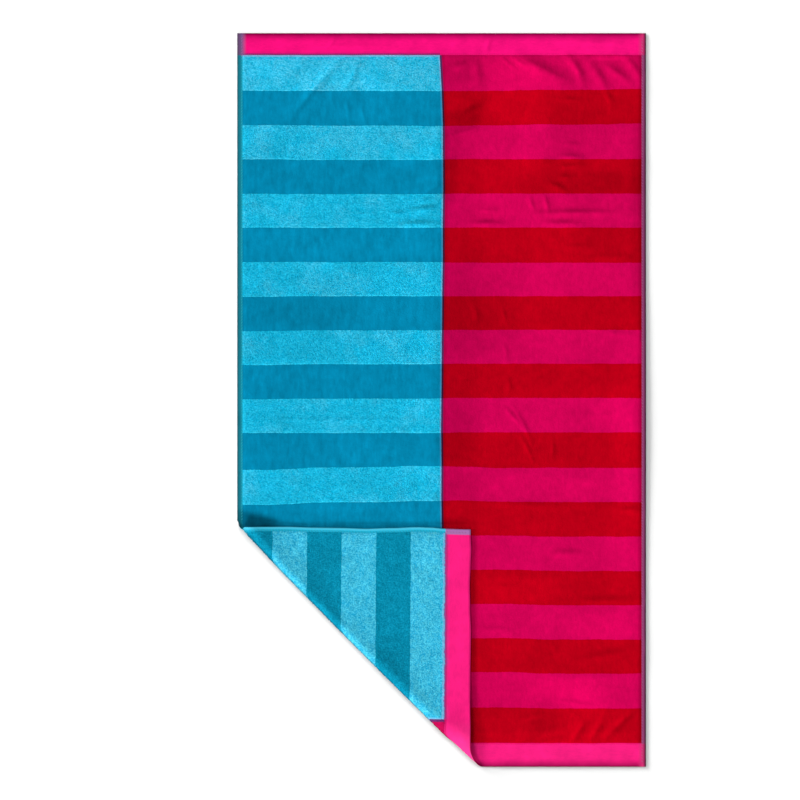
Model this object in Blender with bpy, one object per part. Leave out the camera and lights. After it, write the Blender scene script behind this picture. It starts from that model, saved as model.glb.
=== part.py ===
"""A beach towel that lies flat, with its lower left corner folded over onto its face.

One length of terry cloth, its hems included, so it is one solid. Metres, +Z up. The origin is on the
surface it lies on, under the middle of the towel; +X runs to the towel's right and +Y to its top end.
The cloth is first laid out flat and cut into cells, then its corner is carried round a soft roll.
"""

import math
from collections import namedtuple

import bmesh
import bpy
from mathutils import Vector

# The cloth, laid out flat.
WIDTH = 1.000
LENGTH = 1.800
PILE_THICKNESS = 0.0036
END_HEM_THICKNESS = 0.0024
SIDE_HEM_THICKNESS = 0.0026
TOP_HEM_DEPTH = 0.054
BOTTOM_HEM_DEPTH = 0.057
SIDE_HEM_DEPTH = 0.012
HEM_STEP = 0.003
RIM_ROUNDING = 0.0008

# The fold: its outline runs down to the right, and the corner comes over it onto the face. The
# cloth turns up round its belly, which is this much of a turn, and then over a wider crown.
FOLD_MIDDLE = Vector((-0.214, -0.601))
FOLD_ANGLE = math.radians(-45.0)
FLAP_GAP = 0.0026
BELLY = math.radians(150)
# How the folded corner is turned, slid and stretched along the fold, between these leans.
FLAP_TURN = math.radians(-0.42)
FLAP_SLIDE = -0.0140
FLAP_STRETCH = 0.004
SLIDE_LEANS = (1.0, 3.0)

# The roll at places along the fold, from its left end to its right end. Radius is its belly's and
# tilt is how many degrees the flap drops at as it leaves the crown. Bow is how far the outline
# stands out from a straight line, draw where the flap comes to lie, and bunch where the cloth
# starts to bunch up for that.
Roll = namedtuple("Roll", "along radius crown tilt bow draw bunch")
ROLLS = (
    Roll(-0.420, 0.0092, 0.030, 12, -0.0054, 0.0130, -0.004),
    Roll(-0.350, 0.0064, 0.030, 10, -0.0034, 0.0130, -0.008),
    Roll(-0.240, 0.0044, 0.024, 10, 0.0002, 0.0130, -0.028),
    Roll(0.000, 0.0042, 0.022, 11, 0.0014, 0.0130, -0.030),
    Roll(0.130, 0.0050, 0.030, 12, 0.0012, 0.0130, -0.030),
    Roll(0.240, 0.0044, 0.030, 9, 0.0002, 0.0130, -0.030),
    Roll(0.310, 0.0046, 0.050, 7, -0.0006, 0.0125, -0.015),
    Roll(0.370, 0.0050, 0.060, 6, -0.0036, 0.0100, 0.002),
    Roll(0.430, 0.0054, 0.060, 6, -0.0060, 0.0080, 0.004),
)
BUNCH_LENGTH = 0.045

# How far the folded corner's edges sway out of line, at places along its side and along its end.
Sway = namedtuple("Sway", "at out")
SIDE_SWAYS = (
    Sway(-0.890, -0.0020),
    Sway(-0.836, -0.0008),
    Sway(-0.804, 0.0018),
    Sway(-0.773, 0.0026),
    Sway(-0.709, 0.0000),
    Sway(-0.645, -0.0022),
    Sway(-0.581, -0.0007),
    Sway(-0.518, -0.0003),
    Sway(-0.454, 0.0012),
    Sway(-0.390, 0.0008),
    Sway(-0.340, 0.0000),
)
END_SWAYS = (
    Sway(-0.483, 0.0009),
    Sway(-0.448, 0.0026),
    Sway(-0.414, 0.0012),
    Sway(-0.362, -0.0006),
    Sway(-0.311, 0.0007),
    Sway(-0.242, 0.0031),
    Sway(-0.139, 0.0024),
    Sway(-0.036, 0.0019),
    Sway(0.020, 0.0012),
    Sway(0.070, 0.0000),
)
SWAY_DEPTH = 0.060

# Creases: the middle of each crest, its direction in degrees, and its size. A bend curves it, and
# a skew makes it steeper on one side. The last two are broad swells.
Crease = namedtuple("Crease", "x y angle length width height bend skew")
CREASES = (
    Crease(0.243, 0.808, -26, 0.205, 0.0150, 0.0054, -0.0003, 0.35),
    Crease(0.323, 0.810, -60, 0.127, 0.0095, 0.0036, 0.0068, 0.10),
    Crease(0.376, 0.797, -56, 0.139, 0.0100, 0.0031, 0.0041, 0.10),
    Crease(0.428, 0.800, -34, 0.109, 0.0095, 0.0034, 0.0005, 0.20),
    Crease(0.467, 0.815, -54, 0.102, 0.0090, 0.0027, 0.0015, 0.10),
    Crease(0.086, 0.802, -82, 0.122, 0.0120, 0.0024, -0.0015, 0.20),
    Crease(0.074, 0.727, 27, 0.102, 0.0090, 0.0034, -0.0003, -0.20),
    Crease(-0.308, 0.767, 49, 0.240, 0.0090, 0.0044, 0.0031, -0.20),
    Crease(-0.230, 0.790, 59, 0.122, 0.0080, 0.0032, -0.0081, -0.10),
    Crease(-0.370, 0.814, 24, 0.138, 0.0090, 0.0028, -0.0032, -0.10),
    Crease(-0.044, 0.465, 8, 0.103, 0.0070, 0.0050, 0.0004, 0.25),
    Crease(-0.058, 0.429, 3, 0.157, 0.0070, 0.0046, 0.0002, 0.20),
    Crease(0.109, 0.430, 1, 0.124, 0.0070, 0.0042, 0.0012, 0.20),
    Crease(0.326, 0.456, 1, 0.280, 0.0070, 0.0044, 0.0014, 0.10),
    Crease(0.296, 0.430, 0, 0.137, 0.0070, 0.0038, 0.0012, 0.20),
    Crease(0.318, 0.593, -2, 0.088, 0.0070, 0.0034, 0.0011, 0.20),
    Crease(0.283, 0.519, -24, 0.075, 0.0080, 0.0028, 0.0014, 0.10),
    Crease(-0.246, -0.049, 0, 0.604, 0.0055, 0.0020, -0.0010, 0.00),
    Crease(0.308, -0.378, 1, 0.121, 0.0080, 0.0028, 0.0007, 0.15),
    Crease(0.407, -0.494, 1, 0.231, 0.0080, 0.0028, -0.0001, 0.15),
    Crease(0.407, -0.627, 13, 0.225, 0.0090, 0.0028, -0.0019, 0.10),
    Crease(0.336, -0.812, 55, 0.097, 0.0080, 0.0032, 0.0021, 0.00),
    Crease(0.379, -0.809, 57, 0.092, 0.0080, 0.0030, 0.0010, 0.00),
    Crease(0.430, -0.799, 41, 0.117, 0.0090, 0.0030, 0.0015, 0.00),
    Crease(0.461, -0.273, 1, 0.099, 0.0080, 0.0026, 0.0009, 0.10),
    Crease(-0.002, -0.011, -90, 0.853, 0.0520, 0.0034, -0.0012, 0.00),
    Crease(0.486, -0.017, -90, 0.839, 0.0400, 0.0026, 0.0012, 0.00),
)
CREASE_FADE = 0.030

# How finely the solid is cut into cells. The roll's rows are how far round it they start and stop.
CELL = 0.050
CREASE_STEP = 0.030
BROAD_WIDTH = 0.030
Cuts = namedtuple("Cuts", "start stop size")
ROLL_CUTS = (
    Cuts(-0.018, -0.002, 0.0053),
    Cuts(-0.002, 0.034, 0.0020),
    Cuts(0.034, 0.066, 0.0040),
    Cuts(0.066, 0.186, 0.0150),
)
SNAP = 0.0012
SMOOTH_UP_TO = math.radians(50)

CLOTH_COLOUR = (0.10, 0.45, 0.62, 1.0)
CLOTH_ROUGHNESS = 0.92

ALONG_FOLD = Vector((math.cos(FOLD_ANGLE), math.sin(FOLD_ANGLE)))
OUT_OF_FOLD = Vector((math.sin(FOLD_ANGLE), -math.cos(FOLD_ANGLE)))
LANDED_HEIGHT = PILE_THICKNESS + FLAP_GAP


def ease(share):
    """A share from 0 to 1, made to start and end softly."""
    share = min(max(share, 0.0), 1.0)
    return share * share * (3.0 - 2.0 * share)


def roll_at(along):
    """The roll's row at this place along the fold, eased between its neighbours."""
    if along <= ROLLS[0].along:
        return ROLLS[0]
    for low, high in zip(ROLLS, ROLLS[1:]):
        if along <= high.along:
            share = ease((along - low.along) / (high.along - low.along))
            return Roll(*(a + (b - a) * share for a, b in zip(low, high)))
    return ROLLS[-1]


def lift_line(roll):
    """Where the cloth lifts off the surface, measured outwards from the middle of the fold."""
    return roll.bow - roll.radius - PILE_THICKNESS / 2


def sway(rows, at):
    """How far out of line an edge sways at this place along it."""
    out = rows[0].out
    for low, high in zip(rows, rows[1:]):
        out += (high.out - low.out) * ease((at - low.at) / (high.at - low.at))
    return out


def swayed(x, y):
    """A place of the flat cloth, drawn out or in with the edges near it."""
    by_side = ease(1 - (x + WIDTH / 2) / SWAY_DEPTH)
    by_end = ease(1 - (y + LENGTH / 2) / SWAY_DEPTH)
    return x - by_side * sway(SIDE_SWAYS, y), y - by_end * sway(END_SWAYS, x)


def thickness(x, y):
    """The cloth's thickness: full on the pile, stepping down to the flat woven hems."""
    side = WIDTH / 2 - abs(x)
    end = LENGTH / 2 - abs(y)
    end_hem = TOP_HEM_DEPTH if y > 0 else BOTTOM_HEM_DEPTH
    off_side = ease((side - SIDE_HEM_DEPTH) / HEM_STEP)
    off_end = ease((end - end_hem) / HEM_STEP)
    across = SIDE_HEM_THICKNESS + (PILE_THICKNESS - SIDE_HEM_THICKNESS) * off_side
    return END_HEM_THICKNESS + (across - END_HEM_THICKNESS) * off_end


def bunched(roll):
    """How much of the cloth is taken up by bunching inside the roll, so the flap lies where it does."""
    tilt = math.radians(roll.tilt)
    past = roll.radius * math.sin(BELLY) - roll.crown * (math.sin(tilt) + math.sin(BELLY))
    round_it = roll.radius * BELLY + roll.crown * (math.pi - BELLY + tilt)
    return roll.draw - 2 * lift_line(roll) - round_it - past


def roll_section(travel, roll):
    """Reach, height and lean of the cloth's middle, this far round the roll from where it lifts."""
    if travel <= 0:
        return travel, 0.0, 0.0
    tilt = math.radians(roll.tilt)
    belly = min(travel / roll.radius, BELLY)
    over = min(max(travel - roll.radius * BELLY, 0.0), roll.crown * (math.pi - BELLY + tilt))
    lean = belly + over / roll.crown
    reach = roll.radius * math.sin(belly) + roll.crown * (math.sin(lean) - math.sin(belly))
    height = roll.radius * (1 - math.cos(belly)) + roll.crown * (math.cos(belly) - math.cos(lean))
    down = travel - roll.radius * belly - over
    if down <= 0:
        return reach, height, lean
    drop = height - LANDED_HEIGHT
    still_up = math.exp(-down * math.tan(tilt) / drop)
    return reach - down, LANDED_HEIGHT + drop * still_up, math.pi + math.atan(math.tan(tilt) * still_up)


def crease_lift(x, y):
    """How far the creases hold the cloth off the surface here."""
    lift = 0.0
    for crease in CREASES:
        turn = math.radians(crease.angle)
        right, up = x - crease.x, y - crease.y
        far = right * math.cos(turn) + up * math.sin(turn)
        aside = up * math.cos(turn) - right * math.sin(turn)
        share = abs(far) / (crease.length / 2)
        if share < 1:
            aside -= crease.bend * (1 - 2 * share * share)
            width = crease.width * (1 - crease.skew * math.tanh(aside / crease.width))
            lift += crease.height * (1 - ease(share)) * math.exp(-((aside / width) ** 2))
    return lift


def place(x, y, side):
    """Where a point of the flat cloth lies: side is 1 on its face, -1 on its back, 0 between."""
    flat = Vector(swayed(x, y)) - FOLD_MIDDLE
    along = flat.dot(ALONG_FOLD)
    roll = roll_at(along)
    travel = flat.dot(OUT_OF_FOLD) - lift_line(roll)
    creased = crease_lift(x, y) * ease(-travel / CREASE_FADE)
    travel -= bunched(roll) * ease((travel - roll.bunch) / BUNCH_LENGTH)
    reach, height, lean = roll_section(travel, roll)
    half = thickness(x, y) / 2
    out = lift_line(roll) + reach - math.sin(lean) * side * half
    out -= FLAP_STRETCH * max(travel - SLIDE_LEANS[1] * roll.radius, 0.0)
    height += half + math.cos(lean) * side * half + creased
    moved = ease((travel / roll.radius - SLIDE_LEANS[0]) / (SLIDE_LEANS[1] - SLIDE_LEANS[0]))
    slide = (FLAP_SLIDE + FLAP_STRETCH * along) * moved
    over = ALONG_FOLD * (along + slide) + OUT_OF_FOLD * out
    turn = FLAP_TURN * moved
    spot_x = FOLD_MIDDLE.x + over.x * math.cos(turn) - over.y * math.sin(turn)
    spot_y = FOLD_MIDDLE.y + over.x * math.sin(turn) + over.y * math.cos(turn)
    return Vector((spot_x, spot_y, height))


def reaches_into(face, low, high):
    """Whether a cell of the flat cloth reaches into the box between these two corners."""
    return all(
        max(vert.co[axis] for vert in face.verts) > low[axis]
        and min(vert.co[axis] for vert in face.verts) < high[axis]
        for axis in (0, 1)
    )


def cut(mesh, point, across, box=None):
    """Cuts the flat cloth along a line, or only its cells that reach into a box."""
    faces = [face for face in mesh.faces if not box or reaches_into(face, *box)]
    edges = {edge: None for face in faces for edge in face.edges}
    verts = {vert: None for face in faces for vert in face.verts}
    bmesh.ops.bisect_plane(
        mesh,
        geom=list(verts) + list(edges) + faces,
        dist=SNAP,
        plane_co=(point[0], point[1], 0),
        plane_no=(across[0], across[1], 0),
    )


def steps(low, high, size):
    """Places from low to high, about this far apart, without the two ends."""
    count = max(round((high - low) / size), 1)
    return [low + (high - low) * i / count for i in range(1, count)]


def cut_at_hems(mesh, inner_low, inner_high):
    """Cuts along both edges of each hem's step, and between the hems into cells."""
    for x in [inner_low.x, inner_high.x] + steps(inner_low.x, inner_high.x, CELL):
        cut(mesh, (x, 0), (1, 0))
    for x in (inner_low.x - HEM_STEP, inner_high.x + HEM_STEP):
        cut(mesh, (x, 0), (1, 0))
    for y in [inner_low.y, inner_high.y] + steps(inner_low.y, inner_high.y, CELL):
        cut(mesh, (0, y), (0, 1))
    for y in (inner_low.y - HEM_STEP, inner_high.y + HEM_STEP):
        cut(mesh, (0, y), (0, 1))


def cut_at_crease(mesh, crease, inner_low, inner_high):
    """Cuts the cells that a crease runs through along it and across it."""
    turn = math.radians(crease.angle)
    on, aside = Vector((math.cos(turn), math.sin(turn))), Vector((-math.sin(turn), math.cos(turn)))
    middle = Vector((crease.x, crease.y))
    reach = abs(crease.bend) + 1.7 * crease.width
    half_x = crease.length / 2 * abs(on.x) + reach * abs(on.y)
    half_y = crease.length / 2 * abs(on.y) + reach * abs(on.x)
    low = (max(crease.x - half_x, inner_low.x), max(crease.y - half_y, inner_low.y))
    high = (min(crease.x + half_x, inner_high.x), min(crease.y + half_y, inner_high.y))
    for far in steps(-crease.length / 2, crease.length / 2, CREASE_STEP):
        cut(mesh, middle + on * far, on, (low, high))
    for off in [-reach, reach] + steps(-reach, reach, crease.width):
        cut(mesh, middle + aside * off, aside, (low, high))


def cut_at_fold(mesh):
    """Cuts along the fold, at each step round the roll and down to where the flap has landed."""
    for cuts in ROLL_CUTS:
        for travel in [cuts.start] + steps(cuts.start, cuts.stop, cuts.size):
            cut(mesh, FOLD_MIDDLE + OUT_OF_FOLD * (travel + lift_line(roll_at(0.0))), OUT_OF_FOLD)


def flat_cloth():
    """The towel's outline laid out flat and cut into triangles, finer where it bends."""
    mesh = bmesh.new()
    half = Vector((WIDTH / 2, LENGTH / 2))
    corners = ((-1, -1), (1, -1), (1, 1), (-1, 1))
    mesh.faces.new([mesh.verts.new((i * half.x, j * half.y, 0)) for i, j in corners])
    side = SIDE_HEM_DEPTH + HEM_STEP
    inner_low = Vector((side - half.x, BOTTOM_HEM_DEPTH + HEM_STEP - half.y))
    inner_high = Vector((half.x - side, half.y - TOP_HEM_DEPTH - HEM_STEP))
    cut_at_hems(mesh, inner_low, inner_high)
    for crease in CREASES:
        if crease.width < BROAD_WIDTH:
            cut_at_crease(mesh, crease, inner_low, inner_high)
    cut_at_fold(mesh)
    bmesh.ops.triangulate(mesh, faces=mesh.faces[:])
    return mesh


def drawn_in(x, y):
    """A point of the cloth, kept off its edge by the rounding of the rim."""
    limit_x = WIDTH / 2 - RIM_ROUNDING
    limit_y = LENGTH / 2 - RIM_ROUNDING
    return min(max(x, -limit_x), limit_x), min(max(y, -limit_y), limit_y)


def towel_mesh():
    """Both sides of the cloth where they lie, joined by its rounded rim."""
    flat = flat_cloth()
    solid = bmesh.new()
    face_side, back_side, rim = {}, {}, {}
    for vert in flat.verts:
        x, y = drawn_in(vert.co.x, vert.co.y)
        face_side[vert] = solid.verts.new(place(x, y, 1))
        back_side[vert] = solid.verts.new(place(x, y, -1))
        if vert.is_boundary:
            rim[vert] = solid.verts.new(place(vert.co.x, vert.co.y, 0))
    for face in flat.faces:
        solid.faces.new([face_side[vert] for vert in face.verts])
        solid.faces.new([back_side[vert] for vert in reversed(face.verts)])
    for edge in flat.edges:
        if edge.is_boundary:
            loop = edge.link_loops[0]
            first, second = loop.vert, loop.link_loop_next.vert
            solid.faces.new((face_side[second], face_side[first], rim[first], rim[second]))
            solid.faces.new((rim[second], rim[first], back_side[first], back_side[second]))
    bmesh.ops.triangulate(solid, faces=solid.faces[:])
    bmesh.ops.recalc_face_normals(solid, faces=solid.faces[:])
    mesh = bpy.data.meshes.new("towel")
    solid.to_mesh(mesh)
    solid.free()
    flat.free()
    mesh.shade_smooth()
    mesh.set_sharp_from_angle(angle=SMOOTH_UP_TO)
    return mesh


def terry_cloth():
    material = bpy.data.materials.new("terry cloth")
    material.use_nodes = True
    shader = material.node_tree.nodes["Principled BSDF"]
    shader.inputs["Base Color"].default_value = CLOTH_COLOUR
    shader.inputs["Roughness"].default_value = CLOTH_ROUGHNESS
    shader.inputs["Metallic"].default_value = 0.0
    return material


for thing in list(bpy.data.objects):
    bpy.data.objects.remove(thing)

towel = bpy.data.objects.new("towel", towel_mesh())
towel.data.materials.append(terry_cloth())
bpy.context.scene.collection.objects.link(towel)
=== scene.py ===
"""The looks of a beach towel that lies flat with its lower left corner folded over onto its face.

A velour beach towel in two-tone stripes, blues on its left half and pinks on its right, with flat woven
end hems, narrow stitched side hems and looped terry where the cloth is left unsheared. Metres, +Z up,
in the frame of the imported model: +X to the towel's right, +Y to its top end.
"""

import math
from collections import namedtuple

import bmesh
import bpy
import numpy as np
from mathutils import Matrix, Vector


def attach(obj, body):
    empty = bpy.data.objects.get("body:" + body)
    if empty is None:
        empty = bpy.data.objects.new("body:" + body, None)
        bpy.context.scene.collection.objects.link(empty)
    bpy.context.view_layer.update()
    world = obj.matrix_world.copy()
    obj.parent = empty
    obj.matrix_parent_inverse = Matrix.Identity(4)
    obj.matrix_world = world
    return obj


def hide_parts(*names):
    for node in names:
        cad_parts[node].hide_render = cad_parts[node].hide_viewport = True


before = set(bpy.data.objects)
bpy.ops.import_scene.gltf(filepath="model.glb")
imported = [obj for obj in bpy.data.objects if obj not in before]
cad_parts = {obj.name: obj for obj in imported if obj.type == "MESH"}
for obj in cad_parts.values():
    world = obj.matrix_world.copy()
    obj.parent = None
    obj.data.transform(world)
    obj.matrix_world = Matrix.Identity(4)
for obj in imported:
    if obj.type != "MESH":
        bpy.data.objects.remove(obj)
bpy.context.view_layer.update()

# ---------------------------------------------------------------------------------------------------
# The cloth. One length of cotton terry, woven with its stripes and sheared to velour on its face, its
# long sides turned under and its ends woven flat and turned as hems. It is spread on the ground and
# its lower left corner is brought over a soft roll onto the face, so that the looped back shows.

WIDTH = 1.000
LENGTH = 1.800
PILE_THICKNESS = 0.0036
END_HEM_THICKNESS = 0.0024
SIDE_HEM_THICKNESS = 0.0026
TOP_HEM_DEPTH = 0.054
BOTTOM_HEM_DEPTH = 0.057
SIDE_HEM_DEPTH = 0.012
HEM_STEP = 0.003
RIM_ROUNDING = 0.0008

FOLD_MIDDLE = (-0.214, -0.601)
FOLD_ANGLE = math.radians(-45.0)
FLAP_GAP = 0.0026
BELLY = math.radians(150)
BUNCH_LENGTH = 0.045
FLAP_TURN = math.radians(-0.42)
FLAP_SLIDE = -0.0140
FLAP_STRETCH = 0.004
SLIDE_LEANS = (1.0, 3.0)

# The roll at places along the fold: its radius on the outside, the radius and tilt of its crown, how far
# out it bows, how far in the flap is drawn, and where the cloth starts to bunch up inside it.
Roll = namedtuple("Roll", "along radius crown tilt bow draw bunch")
ROLLS = (
    Roll(-0.420, 0.0092, 0.030, 12, 0.0015, 0.0130, -0.004),
    Roll(-0.390, 0.0082, 0.030, 11, -0.0046, 0.0130, -0.006),
    Roll(-0.350, 0.0064, 0.030, 10, -0.0034, 0.0130, -0.008),
    Roll(-0.240, 0.0044, 0.024, 10, 0.0002, 0.0130, -0.028),
    Roll(0.000, 0.0042, 0.022, 11, 0.0014, 0.0130, -0.030),
    Roll(0.130, 0.0050, 0.030, 12, 0.0012, 0.0130, -0.030),
    Roll(0.240, 0.0044, 0.030, 9, 0.0002, 0.0130, -0.030),
    Roll(0.310, 0.0046, 0.050, 7, -0.0006, 0.0125, -0.015),
    Roll(0.370, 0.0050, 0.060, 6, -0.0036, 0.0100, 0.002),
    Roll(0.430, 0.0054, 0.060, 6, -0.0060, 0.0080, 0.004),
)

# How far the folded corner's side and end sway out of line at places along them.
Sway = namedtuple("Sway", "at out")
SIDE_SWAYS = (
    Sway(-0.890, -0.0020),
    Sway(-0.836, -0.0008),
    Sway(-0.804, 0.0018),
    Sway(-0.773, 0.0026),
    Sway(-0.709, 0.0000),
    Sway(-0.645, -0.0022),
    Sway(-0.581, -0.0007),
    Sway(-0.518, -0.0003),
    Sway(-0.454, 0.0012),
    Sway(-0.390, 0.0008),
    Sway(-0.340, 0.0000),
)
END_SWAYS = (
    Sway(-0.483, 0.0009),
    Sway(-0.448, 0.0026),
    Sway(-0.414, 0.0012),
    Sway(-0.362, -0.0006),
    Sway(-0.311, 0.0007),
    Sway(-0.242, 0.0031),
    Sway(-0.139, 0.0024),
    Sway(-0.036, 0.0019),
    Sway(0.020, 0.0012),
    Sway(0.070, 0.0000),
)
SWAY_DEPTH = 0.060

# The creases as they are read off the photo: the pixels, right and down, of each crease's start,
# middle and end, then its width and height in metres and how much steeper one side of it is.
CRESTS_SEEN = (
    (508, 55, 540, 71, 575, 88, 0.0150, 0.0054, 0.35),
    (560, 52, 575, 67, 583, 92, 0.0095, 0.0036, 0.10),
    (580, 56, 596, 74, 608, 98, 0.0100, 0.0031, 0.10),
    (600, 64, 615, 73.5, 633, 86, 0.0095, 0.0034, 0.20),
    (621, 54, 632, 67, 643, 84, 0.0090, 0.0027, 0.10),
    (475, 52, 476.5, 72, 481, 96, 0.0120, 0.0024, 0.20),
    (456, 113, 472, 105, 489, 96, 0.0090, 0.0034, -0.20),
    (289, 122, 309, 95, 346, 56, 0.0090, 0.0044, -0.20),
    (334, 96, 349, 84, 357, 58, 0.0080, 0.0032, -0.10),
    (268, 78, 293, 70, 314, 58, 0.0090, 0.0028, -0.10),
    (406, 214, 424, 211, 443, 208.5, 0.0070, 0.0050, 0.25),
    (390, 227, 418, 225.6, 447, 224.5, 0.0070, 0.0046, 0.20),
    (464, 226, 487, 224.8, 509, 225.5, 0.0070, 0.0042, 0.20),
    (524, 216, 570, 214.2, 626, 214.5, 0.0070, 0.0044, 0.10),
    (538, 226, 562, 225, 588, 226, 0.0070, 0.0038, 0.20),
    (556, 159, 572, 158.6, 588, 160, 0.0070, 0.0034, 0.20),
    (545, 184, 557, 188, 570, 195, 0.0080, 0.0028, 0.10),
    (232, 420.4, 342, 420.8, 452, 419.6, 0.0055, 0.0020, 0.00),
    (546, 555, 566, 554, 590, 554, 0.0080, 0.0028, 0.15),
    (566, 602, 608, 601.6, 650, 601, 0.0080, 0.0028, 0.15),
    (568, 664, 606, 657, 648, 646, 0.0090, 0.0028, 0.10),
    (570, 746, 579, 730, 590, 717, 0.0080, 0.0032, 0.00),
    (588, 744, 596, 730, 606, 716, 0.0080, 0.0030, 0.00),
    (602, 740, 615, 727, 634, 712, 0.0090, 0.0030, 0.00),
    (612, 512, 630, 511, 648, 511.5, 0.0080, 0.0026, 0.10),
    (442, 250, 441, 400, 442, 560, 0.0520, 0.0034, 0.00),
    (640, 255, 641, 400, 640, 560, 0.0400, 0.0026, 0.00),
    (500, 404, 513, 417, 526, 434, 0.0050, 0.0018, 0.00),
    (507, 402, 521, 420, 533, 452, 0.0050, 0.0018, 0.00),
    (519, 434, 527, 448, 534, 466, 0.0050, 0.0016, 0.00),
    (552, 436, 553, 450, 552, 464, 0.0050, 0.0016, 0.20),
    (560, 146.5, 571, 145.6, 583, 146.5, 0.0050, 0.0020, 0.00),
    (556, 168, 569, 167.6, 585, 165, 0.0050, 0.0020, 0.00),
    (556, 179, 566, 179, 578, 177.5, 0.0060, 0.0020, 0.20),
    (476, 212, 488, 211.6, 503, 212, 0.0050, 0.0018, 0.20),
    (529, 194, 531, 204, 536, 214, 0.0050, 0.0018, 0.20),
    (543, 193, 546.5, 204, 549, 216, 0.0050, 0.0020, 0.00),
    (444, 141, 464, 134, 486, 128, 0.0060, 0.0022, 0.00),
    (557, 101.5, 570, 101, 586, 101.5, 0.0050, 0.0018, 0.20),
    (499, 56, 506, 63, 517, 70, 0.0040, 0.0013, 0.00),
    (511, 56, 519, 63, 530, 70, 0.0040, 0.0013, 0.00),
    (424, 194, 433, 188, 444, 183, 0.0050, 0.0024, -0.10),
    (386, 214.5, 398, 214, 411, 215, 0.0050, 0.0020, 0.20),
    (415, 203, 430, 201.5, 445, 200, 0.0050, 0.0016, 0.20),
    (602, 90, 609, 100, 612, 112, 0.0070, 0.0016, 0.00),
    (536, 745, 553, 741, 575, 736, 0.0060, 0.0018, 0.00),
    (612, 730, 624, 718, 640, 708, 0.0060, 0.0020, 0.00),
    (524, 722, 538, 716, 552, 714, 0.0070, 0.0018, 0.00),
    (450, 70, 462, 68, 476, 62, 0.0080, 0.0024, 0.00),
    (262, 492, 285, 486, 312, 488, 0.0040, 0.0010, 0.00),
    (250, 484, 276, 480, 306, 481, 0.0040, 0.0010, 0.00),
    (240, 478, 250, 474, 262, 468, 0.0050, 0.0016, 0.00),
    (330, 207, 358, 206, 388, 208, 0.0040, 0.0010, 0.00),
    (330, 215, 356, 214.5, 384, 216, 0.0040, 0.0010, 0.00),
    (340, 223, 362, 222.5, 386, 224, 0.0040, 0.0010, 0.00),
    (345, 94, 348, 110, 350, 128, 0.0050, 0.0012, 0.00),
    (360, 100, 363, 114, 364, 128, 0.0050, 0.0013, 0.00),
    (300, 50, 345, 47, 400, 49, 0.0050, 0.0010, 0.00),
    (420, 44, 428, 40, 436, 38, 0.0050, 0.0010, 0.00),
    (322, 52, 332, 44, 336, 36, 0.0050, 0.0012, 0.00),
    (486, 56, 487, 48, 492, 38, 0.0060, 0.0014, 0.00),
    (560, 46, 600, 44, 640, 47, 0.0060, 0.0012, 0.00),
    (545, 700, 575, 703, 600, 707, 0.0050, 0.0012, 0.00),
    (470, 632, 490, 630, 516, 631, 0.0060, 0.0014, 0.20),
    (480, 590, 505, 587, 530, 590, 0.0060, 0.0010, 0.00),
    (455, 470, 470, 468, 490, 471, 0.0060, 0.0012, 0.00),
    (455, 500, 520, 506, 600, 505, 0.0070, 0.0014, 0.00),
    (470, 300, 476, 315, 474, 330, 0.0080, 0.0016, 0.20),
    (500, 300, 503, 312, 508, 328, 0.0050, 0.0012, 0.00),
    (500, 340, 506, 352, 505, 366, 0.0060, 0.0012, 0.00),
    (555, 370, 580, 366, 612, 370, 0.0080, 0.0018, 0.00),
    (505, 375, 509, 385, 506, 398, 0.0050, 0.0012, 0.00),
    (590, 330, 615, 334, 642, 336, 0.0060, 0.0014, 0.00),
    (585, 262, 612, 259, 640, 262, 0.0080, 0.0016, 0.10),
    (560, 245, 580, 249, 600, 243, 0.0080, 0.0018, 0.10),
)
# The photo's pixel over the towel's middle, the size of one pixel on the cloth, and how much longer than
# it is seen a crease is, because its ends fade.
PHOTO_MIDDLE = (442.25, 400.4)
PIXEL_WIDE = 0.0024528
PIXEL_TALL = 0.0024563
PAST_SEEN = 1.12

# A crease on the cloth: its crest's middle, heading in degrees, length, width and height, how far it is
# bent aside, and its skew.
Crease = namedtuple("Crease", "x y angle length width height bend skew")


def traced(*crest_seen):
    """The crease that was seen in the photo, in the frame, to the millimetre and the degree."""
    *pixels, width, height, skew = crest_seen
    x = [(right - PHOTO_MIDDLE[0]) * PIXEL_WIDE for right in pixels[::2]]
    y = [(PHOTO_MIDDLE[1] - down) * PIXEL_TALL for down in pixels[1::2]]
    right, up = x[2] - x[0], y[2] - y[0]
    turn, length = math.atan2(up, right), math.hypot(right, up) * PAST_SEEN
    middle_x, middle_y = (x[0] + x[2]) / 2, (y[0] + y[2]) / 2
    bend = ((y[1] - middle_y) * math.cos(turn) - (x[1] - middle_x) * math.sin(turn)) / 2
    at_x = round(middle_x - bend * math.sin(turn), 3)
    at_y = round(middle_y + bend * math.cos(turn), 3)
    heading = round(math.degrees(turn))
    return Crease(at_x, at_y, heading, round(length, 3), width, height, round(bend, 4), skew)


CREASES = [traced(*crest_seen) for crest_seen in CRESTS_SEEN]
BROAD_WIDTH = 0.030
NARROW_CREASES = [crease for crease in CREASES if crease.width < BROAD_WIDTH]
CREASE_FADE = 0.030

ALONG_FOLD = np.array((math.cos(FOLD_ANGLE), math.sin(FOLD_ANGLE)))
OUT_OF_FOLD = np.array((math.sin(FOLD_ANGLE), -math.cos(FOLD_ANGLE)))
LANDED_HEIGHT = PILE_THICKNESS + FLAP_GAP


def ease(share):
    """A share from 0 to 1, made to start and end softly."""
    share = np.clip(share, 0.0, 1.0)
    return share * share * (3.0 - 2.0 * share)


def roll_at(along):
    """The roll's row at these places along the fold, eased between its neighbours."""
    here = [np.full(along.shape, float(value)) for value in ROLLS[0]]
    for low, high in zip(ROLLS, ROLLS[1:]):
        share = ease((along - low.along) / (high.along - low.along))
        here = [value + (b - a) * share for value, a, b in zip(here, low, high)]
    return Roll(*here)


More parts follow.
